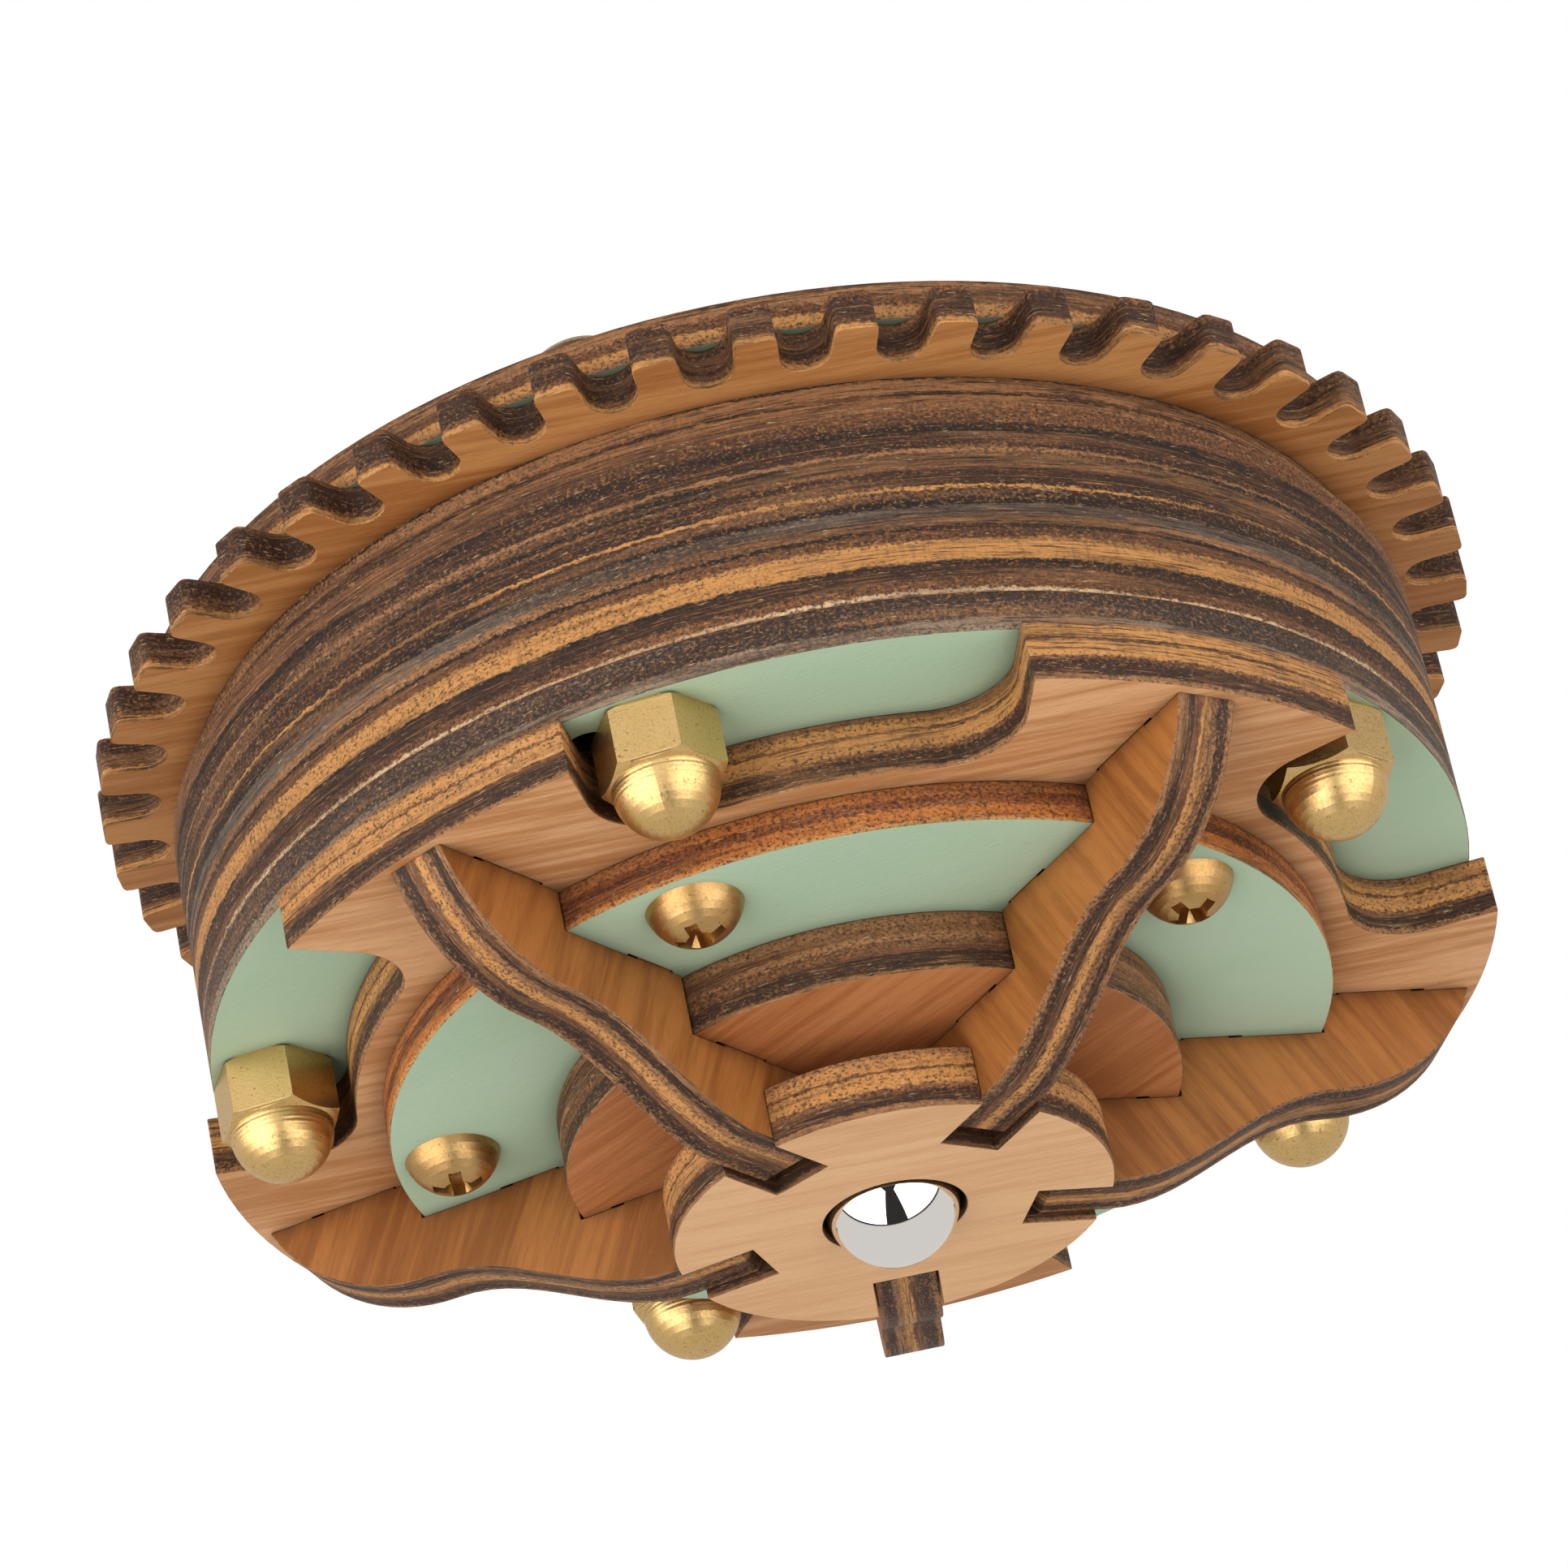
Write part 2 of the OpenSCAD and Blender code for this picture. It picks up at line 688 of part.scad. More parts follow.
module mainspring() {
    turns = 6;
    steps = 20;
    strip = 0.28;
    inner = arbor_core_r + 0.1;
    outer = barrel_r - barrel_wall - 0.1 - strip;
    count = turns * steps;
    function coil(i, d) = polar(inner + d + (outer - inner) * i / count, i * 360 / steps);
    color("SlateGray") translate([0, 0, barrel_z + 1.3]) linear_extrude(barrel_h - cover_h - 1.8) polygon(concat(
        [for (i = [0:count]) coil(i, 0)],
        [for (i = [count:-1:0]) coil(i, strip)]
    ));
}

module great_wheel() {
    color("Gold") translate([0, 0, great_z]) clock_gear(great_teeth, arbor_neck_bore_r, great_h);
}

// Tube pressed on the barrel, with a pin for every note of the tune
module pinned_cylinder() {
    notes_per_track = 5;
    pin_r = 0.16;
    sleeve_h = barrel_h - 0.4;
    color("Goldenrod") {
        difference() {
            disc(sleeve_r, barrel_z + 0.2, sleeve_h);
            disc(barrel_r, barrel_z, sleeve_h + 1);
        }
        for (i = [0:tune_tracks - 1], j = [0:notes_per_track - 1]) {
            turn = 360 / notes_per_track * j + 137.5 * i + 29 * (i * j % 3);
            rotate([0, 0, turn]) translate([sleeve_r - 0.3, 0, track_z0 + (i + 0.5) * track_pitch])
                rotate([0, 90, 0]) cylinder(r = pin_r, h = pin_tip_r - sleeve_r + 0.3, $fn = 16);
        }
    }
}

// ---------- train ----------

leaf_bore_r = 0.8;

module first_wheel() {
    color("Gold") translate([first_at[0], first_at[1], first_wheel_z]) clock_gear(first_teeth, 1.2, 1);
}

// Arbor with its pinion, and a boss that carries the wheel
module pinion_arbor(at, turn, n, pinion_z, pinion_h, boss_z, boss_h) {
    color("LightSteelBlue") translate([at[0], at[1], 0]) {
        disc(pivot_r, bridge_z + 0.1, bedplate_z - bridge_z + 1.5);
        disc(arbor_r, bridge_z + bridge_h + 0.2, bedplate_z - bridge_z - bridge_h - 0.4);
        disc(1.2, boss_z, boss_h);
        translate([0, 0, pinion_z]) rotate([0, 0, turn]) clock_gear(n, 0.4, pinion_h);
    }
}

module first_pinion() {
    pinion_arbor(first_at, first_pinion_turn, leaf_teeth, first_wheel_z + 1, 2.4, first_wheel_z - 0.5, 1.6);
}

module second_wheel() {
    color("Gold") translate([second_at[0], second_at[1], second_wheel_z]) clock_gear(second_teeth, 1.2, 0.8);
}

module second_pinion() {
    pinion_arbor(second_at, second_pinion_turn, leaf_teeth, first_wheel_z - 0.5, 2, second_wheel_z - 0.5, 1.8);
}

module fan_pinion() {
    pinion_arbor(fan_at, fan_pinion_turn, fan_teeth, second_wheel_z - 0.5, 1.8, fan_z, fan_h);
}

module fan_blade() {
    blade_w = 8.8;
    color("Gainsboro") translate([fan_at[0], fan_at[1], fan_z]) difference() {
        union() {
            translate([-blade_w / 2, -0.25, 0]) cube([blade_w, 0.5, fan_h]);
            cylinder(r = 1.6, h = fan_h);
        }
        translate([0, 0, -1]) cylinder(r = 1.2, h = fan_h + 2);
    }
}

base_plate();
drum_ring(1);  // drum_ring_1
drum_ring(2);  // drum_ring_2
drum_ring(3);  // drum_ring_3
drum_ring(4);  // drum_ring_4
drum_ring(5);  // drum_ring_5
neck_ring();
toothed_ring();
top_disc();
star_plate();
screw_disc();
inner_disc();
hub_plate();
rib(1);  // rib_1
rib(2);  // rib_2
rib(3);  // rib_3
rib(4);  // rib_4
rib(5);  // rib_5
pivot_ball();
ball_cup();
cup_magnet();
through_bolts();
acorn_nuts();
disc_screws();
disc_nuts();
bedplate();
bedplate_screws();
pillars();
bridge();
bridge_screws();
comb();
comb_block();
comb_screws();
winding_arbor();
winding_key();
clutch_spring();
barrel();
barrel_cover();
mainspring();
great_wheel();
pinned_cylinder();
first_wheel();
first_pinion();
second_wheel();
second_pinion();
fan_pinion();
fan_blade();
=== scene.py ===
"""Looks of the wind up music box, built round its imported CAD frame.

Lengths are in metres, and the numbers in materials and edge widths are in millimetres.
"""

import math

import bpy
from mathutils import Matrix, Quaternion, Vector


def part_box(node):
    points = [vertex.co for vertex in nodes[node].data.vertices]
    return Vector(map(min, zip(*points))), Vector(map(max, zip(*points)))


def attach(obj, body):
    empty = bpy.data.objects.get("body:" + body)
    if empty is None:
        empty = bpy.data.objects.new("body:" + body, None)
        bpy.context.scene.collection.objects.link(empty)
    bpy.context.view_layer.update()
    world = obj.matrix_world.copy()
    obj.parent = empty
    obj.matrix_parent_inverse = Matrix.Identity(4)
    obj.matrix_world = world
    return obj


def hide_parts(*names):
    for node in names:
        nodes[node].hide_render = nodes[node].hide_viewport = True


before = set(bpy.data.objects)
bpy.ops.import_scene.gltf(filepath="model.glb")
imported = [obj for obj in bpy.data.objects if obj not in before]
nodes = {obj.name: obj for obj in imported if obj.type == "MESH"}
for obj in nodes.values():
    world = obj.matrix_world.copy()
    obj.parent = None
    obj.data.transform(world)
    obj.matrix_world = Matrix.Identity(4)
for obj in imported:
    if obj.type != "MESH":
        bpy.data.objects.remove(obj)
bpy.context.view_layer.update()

MM = 0.001
# The lobes, ribs and fasteners repeat five times round the drum's axis
FOLD = 5
STEP = 360 / FOLD
# A Mix node's colour sockets share their names with its other sockets, so they go by number
COLOUR_A = 6
COLOUR_B = 7
COLOUR_OUT = 2


def linear(channel):
    """A screen channel from 0 to 1 as light."""
    return channel / 12.92 if channel < 0.0404 else ((channel + 0.055) / 1.055) ** 2.4


def srgb(r, g, b):
    """Linear colour of an 8-bit screen colour."""
    return tuple(linear(channel / 255) for channel in (r, g, b)) + (1,)


# ---------- camera and light ----------

CAMERA_AT = Vector((-0.13067, -0.38024, -0.19679))
CAMERA_LOOKS = Vector((0.27928, 0.82043, 0.49889))
CAMERA_ROLL = math.radians(-11.99)
CAMERA_LENS = 167.5
# Middle of the drum, which the softboxes stand round
MIDDLE = Vector((0, 0, 0.022))
# The studio's own upright: the object is propped on its side in it
STUDIO_UP = Vector((-0.33, -0.87, 0.37)).normalized()

# Strength of the table's light and of the dark room above it
TABLE_GLOW = 0.66
ROOM_GLOW = 0.03
TABLE_TINT = (1, 0.96, 0.91, 1)
LAMP_TINT = (1.0, 0.985, 0.96)
# name, azimuth, elevation and distance of its middle, width and height, power, backward tilt
SOFTBOXES = [
    ("softbox_left", -61, 46, 0.87, (1.28, 1.22), 14.2, 4),
    ("softbox_right", 62, 46, 0.87, (1.28, 1.22), 11.0, 4),
    ("softbox_overhead", 0, 88, 0.9, (0.8, 0.5), 1.6, 88),
]

FLOOR_RADIUS = 3
FLOOR_COLOUR = (0.8, 0.8, 0.79, 1)
FLOOR_GLOW = 0.35


def add_camera():
    data = bpy.data.cameras.new("camera")
    data.sensor_width = 36
    data.lens = CAMERA_LENS
    data.clip_start = 0.01
    data.clip_end = 50
    camera = bpy.data.objects.new("camera", data)
    camera.location = CAMERA_AT
    turn = CAMERA_LOOKS.to_track_quat("-Z", "Y") @ Quaternion((0, 0, 1), CAMERA_ROLL)
    camera.rotation_euler = turn.to_euler()
    bpy.context.scene.collection.objects.link(camera)
    bpy.context.scene.camera = camera


def studio_direction(azimuth, elevation):
    """Direction in the studio: azimuth 0 is behind the camera, positive to its right."""
    back = -CAMERA_LOOKS.normalized()
    back = (back - back.dot(STUDIO_UP) * STUDIO_UP).normalized()
    right = STUDIO_UP.cross(back)
    a, e = math.radians(azimuth), math.radians(elevation)
    level = math.cos(a) * back + math.sin(a) * right
    return math.cos(e) * level + math.sin(e) * STUDIO_UP


def add_softbox(name, azimuth, elevation, distance, size, power, tilt):
    """A rectangle of light. tilt is how far it leans back from the vertical."""
    data = bpy.data.lights.new(name, "AREA")
    data.shape = "RECTANGLE"
    data.size, data.size_y = size
    data.energy = power
    data.color = LAMP_TINT
    light = bpy.data.objects.new(name, data)
    facing = studio_direction(azimuth, tilt)
    across = STUDIO_UP.cross(facing).normalized()
    upright = facing.cross(across)
    place = MIDDLE + studio_direction(azimuth, elevation) * distance
    axes = Matrix((across, upright, facing)).transposed().to_4x4()
    light.matrix_world = Matrix.Translation(place) @ axes
    light.visible_camera = False
    bpy.context.scene.collection.objects.link(light)


def set_world():
    """White to the camera. As light, a white table fills the studio's lower half."""
    world = bpy.data.worlds.new("studio")
    bpy.context.scene.world = world
    world.use_nodes = True
    tree = world.node_tree
    tree.nodes.clear()
    make, link = tree.nodes.new, tree.links.new
    coord = make("ShaderNodeTexCoord")
    below = make("ShaderNodeVectorMath")
    below.operation = "DOT_PRODUCT"
    below.inputs[1].default_value = -STUDIO_UP
    link(coord.outputs["Generated"], below.inputs[0])
    table = make("ShaderNodeMapRange")
    table.inputs["From Min"].default_value = 0.005
    table.inputs["From Max"].default_value = 0.04
    table.inputs["To Min"].default_value = ROOM_GLOW
    table.inputs["To Max"].default_value = TABLE_GLOW
    link(below.outputs["Value"], table.inputs["Value"])
    path = make("ShaderNodeLightPath")
    strength = make("ShaderNodeMix")
    strength.data_type = "FLOAT"
    link(path.outputs["Is Camera Ray"], strength.inputs["Factor"])
    link(table.outputs["Result"], strength.inputs["A"])
    strength.inputs["B"].default_value = 1.0
    tint = make("ShaderNodeMix")
    tint.data_type = "RGBA"
    link(path.outputs["Is Camera Ray"], tint.inputs["Factor"])
    tint.inputs[COLOUR_A].default_value = TABLE_TINT
    tint.inputs[COLOUR_B].default_value = (1, 1, 1, 1)
    background = make("ShaderNodeBackground")
    link(tint.outputs[COLOUR_OUT], background.inputs["Color"])
    link(strength.outputs["Result"], background.inputs["Strength"])
    out = make("ShaderNodeOutputWorld")
    link(background.outputs["Background"], out.inputs["Surface"])


def add_floor():
    """Pale floor under the ball, seen from above only."""
    bpy.ops.mesh.primitive_circle_add(
        vertices=96, radius=FLOOR_RADIUS, fill_type="NGON", location=(0, 0, 0))
    floor = bpy.context.object
    floor.name = "floor"
    material = bpy.data.materials.new("floor")
    material.use_nodes = True
    tree = material.node_tree
    tree.nodes.clear()
    make, link = tree.nodes.new, tree.links.new
    diffuse = make("ShaderNodeBsdfDiffuse")
    diffuse.inputs["Color"].default_value = FLOOR_COLOUR
    glow = make("ShaderNodeEmission")
    glow.inputs["Strength"].default_value = FLOOR_GLOW
    lit = make("ShaderNodeAddShader")
    link(diffuse.outputs[0], lit.inputs[0])
    link(glow.outputs[0], lit.inputs[1])
    clear = make("ShaderNodeBsdfTransparent")
    side = make("ShaderNodeNewGeometry")
    mix = make("ShaderNodeMixShader")
    link(side.outputs["Backfacing"], mix.inputs["Fac"])
    link(lit.outputs[0], mix.inputs[1])
    link(clear.outputs[0], mix.inputs[2])
    out = make("ShaderNodeOutputMaterial")
    link(mix.outputs[0], out.inputs["Surface"])
    floor.data.materials.append(material)
    floor.visible_diffuse = False
    floor.visible_glossy = False
    floor.visible_transmission = False
    floor.visible_shadow = False


# ---------- material helpers ----------


class Shader:
    """One Principled material and short calls that add nodes to it."""

    def __init__(self, name):
        self.material = bpy.data.materials.new(name)
        self.material.use_nodes = True
        self.tree = self.material.node_tree
        self.bsdf = self.tree.nodes["Principled BSDF"]
        self.coord = self.node("ShaderNodeTexCoord")
        self.place = self.vector("SCALE", self.coord.outputs["Object"], scale=1 / MM)
        self.normal = self.coord.outputs["Normal"]

    def node(self, kind, **settings):
        made = self.tree.nodes.new(kind)
        for key, value in settings.items():
            setattr(made, key, value)
        return made

    def put(self, socket, value):
        if hasattr(value, "links"):
            self.tree.links.new(value, socket)
        else:
            socket.default_value = value

    def math(self, operation, a, b=0.0):
        made = self.node("ShaderNodeMath", operation=operation)
        self.put(made.inputs[0], a)
        self.put(made.inputs[1], b)
        return made.outputs[0]

    def vector(self, operation, a, b=None, scale=None):
        made = self.node("ShaderNodeVectorMath", operation=operation)
        self.put(made.inputs[0], a)
        if b is not None:
            self.put(made.inputs[1], b)
        if scale is not None:
            self.put(made.inputs["Scale"], scale)
        return made.outputs["Vector"]

    def split(self, vector):
        made = self.node("ShaderNodeSeparateXYZ")
        self.put(made.inputs[0], vector)
        return made.outputs

    def join(self, x, y, z):
        made = self.node("ShaderNodeCombineXYZ")
        for socket, value in zip(made.inputs, (x, y, z)):
            self.put(socket, value)
        return made.outputs[0]

    def turn(self, vector, degrees):
        """Turns a vector about Z."""
        made = self.node("ShaderNodeVectorRotate", rotation_type="Z_AXIS")
        self.put(made.inputs["Vector"], vector)
        made.inputs["Angle"].default_value = math.radians(degrees)
        return made.outputs[0]

    def mix(self, factor, a, b):
        made = self.node("ShaderNodeMix", data_type="RGBA")
        self.put(made.inputs["Factor"], factor)
        self.put(made.inputs[COLOUR_A], a)
        self.put(made.inputs[COLOUR_B], b)
        return made.outputs[COLOUR_OUT]

    def span(self, value, low, high, to_low=0.0, to_high=1.0):
        """Eases from to_low at low to to_high at high. low may be the larger of the two."""
        made = self.node("ShaderNodeMapRange", interpolation_type="SMOOTHSTEP")
        self.put(made.inputs["Value"], value)
        self.put(made.inputs["From Min"], low)
        self.put(made.inputs["From Max"], high)
        self.put(made.inputs["To Min"], to_low)
        self.put(made.inputs["To Max"], to_high)
        return made.outputs["Result"]

    def noise(self, vector, scale, detail=4.0, rough=0.55):
        """Noise over a place in millimetres; scale is cells per millimetre, one number or three."""
        if isinstance(scale, tuple):
            vector = self.vector("MULTIPLY", vector, scale)
            scale = 1.0
        made = self.node("ShaderNodeTexNoise")
        self.put(made.inputs["Vector"], vector)
        made.inputs["Scale"].default_value = scale
        made.inputs["Detail"].default_value = detail
        made.inputs["Roughness"].default_value = rough
        return made.outputs["Fac"]

    def sway(self, level, noise, reach):
        """Moves a level up and down by a noise, over reach millimetres in all."""
        return self.math("ADD", level, self.math("MULTIPLY", self.math("SUBTRACT", noise, 0.5), reach))

    def paint_corner_shade(self, reach, colour):
        """Paints shade into a colour in corners closer than reach, in millimetres: occlusion darkens it
        towards dark brown.
        """
        made = self.node("ShaderNodeAmbientOcclusion", samples=6)
        made.inputs["Distance"].default_value = reach * MM
        shade = self.span(made.outputs["AO"], 0.25, 0.85, 1.0, 0.0)
        return self.mix(self.math("MULTIPLY", shade, 0.65), colour, srgb(44, 22, 8))

    def ramp(self, value, stops):
        """stops is a list of (position, colour)."""
        made = self.node("ShaderNodeValToRGB")
        elements = made.color_ramp.elements
        while len(elements) < len(stops):
            elements.new(0.5)
        for element, (position, colour) in zip(elements, stops):
            element.position = position
            element.color = colour
        self.put(made.inputs[0], value)
        return made.outputs[0]

    def finish(self, colour, roughness, height=None, depth=0.05, metallic=0.0, specular=0.5):
        """depth is how deep the bumps are, in millimetres."""
        self.put(self.bsdf.inputs["Base Color"], colour)
        self.put(self.bsdf.inputs["Roughness"], roughness)
        self.bsdf.inputs["Metallic"].default_value = metallic
        self.bsdf.inputs["Specular IOR Level"].default_value = specular
        if height is not None:
            bump = self.node("ShaderNodeBump")
            bump.inputs["Strength"].default_value = 1.0
            bump.inputs["Distance"].default_value = depth * MM
            self.put(bump.inputs["Height"], height)
            self.put(self.bsdf.inputs["Normal"], bump.outputs[0])
        return self.material


# ---------- wood ----------

# Plywood tones from a laser's scorch to bare veneer
TONES = {
    "beige": srgb(134, 116, 98),
    "grey": srgb(92, 80, 70),
    "charcoal": srgb(64, 50, 42),
    "black": srgb(26, 17, 14),
    "dark": srgb(58, 35, 23),
    "brown": srgb(104, 66, 40),
    "tan": srgb(146, 102, 66),
    "golden": srgb(190, 134, 76),
    "pale": srgb(206, 174, 136),
    "amber": srgb(176, 104, 48),
    "rust": srgb(120, 64, 30),
}

# Light and dark tones of the veneer on each sheet's faces
STAR_FACE = srgb(214, 164, 118), srgb(178, 122, 74)
HUB_FACE = srgb(218, 174, 130), srgb(204, 156, 112)
INNER_FACE = srgb(186, 122, 74), srgb(158, 94, 48)
RIM_FACE = srgb(190, 134, 80), srgb(158, 100, 50)
RIB_FACE = srgb(160, 102, 48), srgb(126, 74, 28)

# Plies of one sheet from its lower face up: share of the thickness and tone
THICK_PLIES = [
    (0.08, "tan"), (0.24, "dark"), (0.08, "brown"), (0.26, "golden"),
    (0.05, "brown"), (0.20, "golden"), (0.09, "tan"),
]
INNER_PLIES = [
    (0.06, "tan"), (0.26, "dark"), (0.22, "brown"), (0.12, "tan"), (0.16, "brown"), (0.18, "tan"),
]
THIN_PLIES = [(0.12, "golden"), (0.30, "amber"), (0.28, "rust"), (0.30, "amber")]
RIB_PLIES = [
    (0.10, "tan"), (0.20, "dark"), (0.16, "brown"), (0.16, "golden"),
    (0.12, "tan"), (0.16, "dark"), (0.10, "tan"),
]
BASE_PLIES = [(0.33, "beige"), (0.67, "charcoal")]
RIM_PLIES = [(0.16, "golden"), (0.14, "brown"), (0.58, "dark"), (0.12, "brown")]
LID_PLIES = [(0.10, "tan"), (0.26, "golden"), (0.28, "brown"), (0.26, "tan"), (0.10, "brown")]

# The drum's wall from the base plate's lower face to the toothed ring, in millimetres
WALL_BANDS = [
    (0.8, "beige"), (1.9, "charcoal"), (0.25, "pale"), (0.6, "brown"), (1.1, "dark"),
    (0.3, "black"), (1.5, "golden"), (0.7, "brown"), (0.3, "black"), (0.5, "tan"),
    (0.9, "grey"), (0.7, "black"), (0.5, "dark"), (0.22, "golden"), (1.2, "dark"),
    (0.22, "brown"), (0.9, "black"), (0.2, "tan"), (1.1, "dark"), (0.7, "black"),
    (0.25, "brown"), (1.3, "brown"), (0.25, "dark"), (1.1, "tan"), (0.3, "dark"),
    (0.9, "tan"), (0.2, "black"), (0.8, "golden"),
]

# A colour ramp holds 32 stops, and each band takes two
BANDS_PER_RAMP = 14
# Grain of the drum's rings, and of a rib's sheet, in degrees
RING_GRAIN = -17
RIB_GRAIN = -62
# How far a corner's shade reaches
CORNER_REACH = 2.0


def banded(shader, level, bands):
    """Crisp bands by level, from as many colour ramps as they need."""
    start, result = 0.0, None
    for first in range(0, len(bands), BANDS_PER_RAMP):
        chunk = bands[first:first + BANDS_PER_RAMP]
        total = sum(width for width, _ in chunk)
        stops, at = [], 0.0
        for width, tone in chunk:
            edge = min(width * 0.25, 0.07)
            stops.append((min(1, (at + edge) / total), TONES[tone]))
            stops.append((min(1, (at + width - edge) / total), TONES[tone]))
            at += width
        share = shader.math("DIVIDE", shader.math("SUBTRACT", level, start), total)
        colour = shader.ramp(share, stops)
        if result is None:
            result = colour
        else:
            result = shader.mix(shader.math("GREATER_THAN", level, start), result, colour)
        start += total
    return result


def ragged(shader, flow, level):
    """Frays the borders between plies."""
    return shader.sway(level, shader.noise(flow, (1.6, 1.6, 3.0), 3, 0.7), 0.7)


def face_wood(shader, along, seed, light, dark):
    """Fine straight grain. along is a place whose X runs with the fibres."""
    shifted = shader.vector("ADD", along, (seed * 17.3, seed * 31.7, seed * 5.1))
    broad = shader.noise(shifted, (0.015, 0.12, 0.12), 3)
    streak = shader.noise(shifted, (0.08, 1.3, 1.3), 4, 0.6)
    fibre = shader.noise(shifted, (0.8, 8.0, 8.0), 3, 0.65)
    tone = shader.math("ADD", shader.math("MULTIPLY", broad, 0.5), shader.math("MULTIPLY", streak, 0.5))
    colour = shader.mix(shader.span(tone, 0.40, 0.60), light, dark)
    flecks = shader.span(fibre, 0.52, 0.66)
    colour = shader.mix(shader.math("MULTIPLY", flecks, 0.32), colour, dark)
    pale = shader.span(fibre, 0.44, 0.34)
    colour = shader.mix(shader.math("MULTIPLY", pale, 0.25), colour, light)
    return colour, fibre


def scorched(shader, colour, flow):
    """Burnt fibres, open pores and slow drift over laser-cut plies.

    flow runs Z across the plies. Each ply shows the ends of its fibres over part of
    the cut, and their length over the rest.
    """
    drawn = shader.noise(flow, (0.30, 0.30, 8.0), 5, 0.75)
    pores = shader.noise(flow, (4.2, 4.2, 5.6), 3, 0.7)
    nicks = shader.noise(flow, (2.6, 2.6, 0.7), 3, 0.7)
    drift = shader.noise(flow, (0.04, 0.04, 0.6), 3, 0.6)
    hairs = shader.noise(flow, (1.2, 1.2, 9.0), 2, 0.5)
    ends = shader.span(shader.noise(flow, (0.018, 0.018, 0.7), 1, 0.5), 0.42, 0.58)
    lengths = shader.math("SUBTRACT", 1.0, ends)
    dots = shader.math("ADD", 0.25, shader.math("MULTIPLY", ends, 0.75))
    everywhere = 1.0
    # noise, where its mark begins and is full, its strength, where it shows, its tone
    marks = [
        (drift, 0.52, 0.64, 0.45, everywhere, "tan"),
        (drift, 0.48, 0.38, 0.55, everywhere, "dark"),
        (drawn, 0.50, 0.60, 0.85, lengths, "black"),
        (drawn, 0.46, 0.36, 0.40, lengths, "golden"),
        (pores, 0.47, 0.66, 0.85, dots, "black"),
        (pores, 0.47, 0.32, 0.45, dots, "golden"),
        (nicks, 0.54, 0.66, 0.30, everywhere, "charcoal"),
        (hairs, 0.66, 0.72, 0.45, everywhere, "pale"),
    ]
    for noise, begins, full, strength, where, tone in marks:
        shown = shader.math("MULTIPLY", shader.span(noise, begins, full, 0.0, strength), where)
        colour = shader.mix(shown, colour, TONES[tone])
    height = shader.math("ADD", shader.math("MULTIPLY", drawn, 0.4), shader.math("MULTIPLY", pores, 0.6))
    return colour, height


def ply_edge(shader, flow, level, thickness, plies, seed):
    """A sheet's cut edge. level is the height above the sheet's lower face."""
    wander = shader.noise(shader.vector("ADD", flow, (seed * 9.1, seed * 3.3, 0)), (0.10, 0.10, 0.4), 3)
    moved = ragged(shader, flow, shader.sway(level, wander, 0.6))
    bands = [(share * thickness, tone) for share, tone in plies]
    shifted = shader.vector("ADD", flow, (seed * 4.7, seed * 8.9, 0))
    return scorched(shader, banded(shader, moved, bands), shifted)


def is_face(shader, across):
    """1 on a sheet's faces and 0 on its edges, from the normal's part across the sheet."""
    return shader.span(shader.math("ABSOLUTE", across), 0.80, 0.95)


def sheet_finish(shader, on_face, face, fibre, edge, scorch):
    """Joins a sheet's faces and its edges into one finish."""
    # Painted shade: the colour darkens in corners, where parts meet
    colour = shader.paint_corner_shade(CORNER_REACH, shader.mix(on_face, edge, face))
    grain = shader.math("MULTIPLY", fibre, shader.math("MULTIPLY", on_face, 0.5))
    burnt = shader.math("MULTIPLY", scorch, shader.math("SUBTRACT", 1.0, on_face))
    return shader.finish(colour, 0.58, shader.math("ADD", grain, burnt), 0.09, specular=0.3)


def paint_colour(shader, along):
    """Thin sage paint: the grain below shows as fine short dashes."""
    dash = shader.noise(along, (1.2, 7.0, 7.0), 3, 0.6)
    cloud = shader.noise(along, (0.05, 0.09, 0.09), 2)
    colour = shader.mix(shader.span(cloud, 0.35, 0.65), srgb(172, 194, 168), srgb(166, 190, 162))
    return shader.mix(shader.span(dash, 0.55, 0.72, 0, 0.35), colour, srgb(148, 172, 142)), dash


def plate_material(node, plies, grain, seed, tones, painted):
    """Plywood lying flat: grain on its faces, plies on its edges, and perhaps paint below."""
    s = Shader(node)
    bottom, top = (corner.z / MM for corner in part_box(node))
    level = s.math("SUBTRACT", s.split(s.place)[2], bottom)
    along = s.turn(s.place, -grain)
    face, fibre = face_wood(s, along, seed, *tones)
    edge, scorch = ply_edge(s, s.place, level, top - bottom, plies, seed)
    up = s.split(s.normal)[2]
    if painted:
        paint, dash = paint_colour(s, along)
        below = s.span(s.math("MULTIPLY", up, -1.0), 0.55, 0.75)
        face = s.mix(below, face, paint)
        fibre = s.math("ADD", s.math("MULTIPLY", dash, 0.5), s.math("MULTIPLY", fibre, 0.2))
    return sheet_finish(s, is_face(s, up), face, fibre, edge, scorch)


def wall_material():
    """All the rings of the drum's wall share one run of bands by height."""
    s = Shader("drum_wall")
    level = s.math("SUBTRACT", s.split(s.place)[2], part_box("base_plate")[0].z / MM)
    wander = s.noise(s.place, (0.025, 0.025, 0.22), 3)
    moved = ragged(s, s.place, s.sway(level, wander, 0.8))
    edge, height = scorched(s, banded(s, moved, WALL_BANDS), s.place)
    face, _ = face_wood(s, s.turn(s.place, -RING_GRAIN), 9, *STAR_FACE)
    colour = s.mix(is_face(s, s.split(s.normal)[2]), edge, face)
    return s.finish(colour, 0.62, height, 0.16, specular=0.3)


